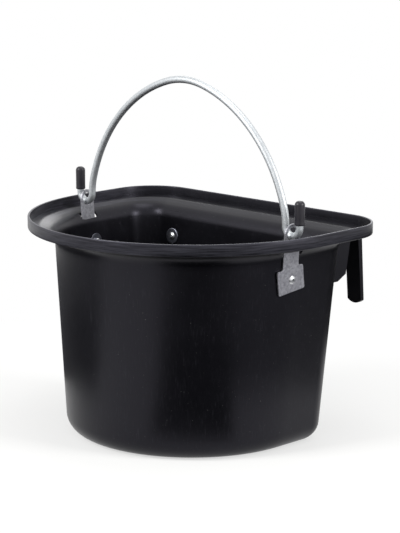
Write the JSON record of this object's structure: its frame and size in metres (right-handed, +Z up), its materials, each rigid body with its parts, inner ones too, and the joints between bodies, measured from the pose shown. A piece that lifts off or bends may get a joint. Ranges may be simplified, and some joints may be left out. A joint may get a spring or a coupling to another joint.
{
  "type": "feed bucket",
  "caption": "D-shaped hang-on stable feed bucket, moulded with rear rail hooks, riveted side brackets and a swinging wire bail.",
  "frame": {"origin": "centre of the underside, half way between the rim's front and back edges", "axes": "+X to the right along the flat back seen from the round front, +Y from the round front to the flat back and hooks, +Z up"},
  "size_m": [0.38, 0.341, 0.4046],
  "materials": {
    "moulded_shell": "semi-gloss moulded polyethylene, black, lightly scuffed",
    "moulded_hook": "satin moulded polyethylene, black",
    "galvanised_bar": "galvanised drawn steel bar, finely speckled",
    "zinc_bracket": "zinc-plated sheet steel, dull, with bright cut edges",
    "zinc_washer": "zinc-plated washer, satin",
    "rivet_alloy": "bare aluminium blind rivet, satin",
    "mandrel_steel": "snapped steel rivet mandrel",
    "vinyl_cap": "dipped black vinyl, satin"
  },
  "bodies": {
    "bucket": {"bucket_shell": "moulded_shell", "left_bail_bracket": "zinc_bracket", "left_bracket_rivet": "rivet_alloy", "left_bracket_mandrel": "mandrel_steel", "left_bracket_washer": "zinc_washer", "left_hook": "moulded_hook", "left_hook_rivet": "rivet_alloy", "left_hook_mandrel": "mandrel_steel", "left_hook_washer": "zinc_washer", "right_bail_bracket": "zinc_bracket", "right_bracket_rivet": "rivet_alloy", "right_bracket_mandrel": "mandrel_steel", "right_bracket_washer": "zinc_washer", "right_hook": "moulded_hook", "right_hook_rivet": "rivet_alloy", "right_hook_mandrel": "mandrel_steel", "right_hook_washer": "zinc_washer"},
    "bail": {"bail_handle": "galvanised_bar", "left_bail_cap": "vinyl_cap", "right_bail_cap": "vinyl_cap"}
  },
  "joints": [
    {"name": "bail_swing", "type": "hinge", "parent": "bucket", "child": "bail", "pos_m": [0, 0.01749, 0.2451], "axis": [1, 0, 0], "range_deg": [-86, 90]}
  ]
}
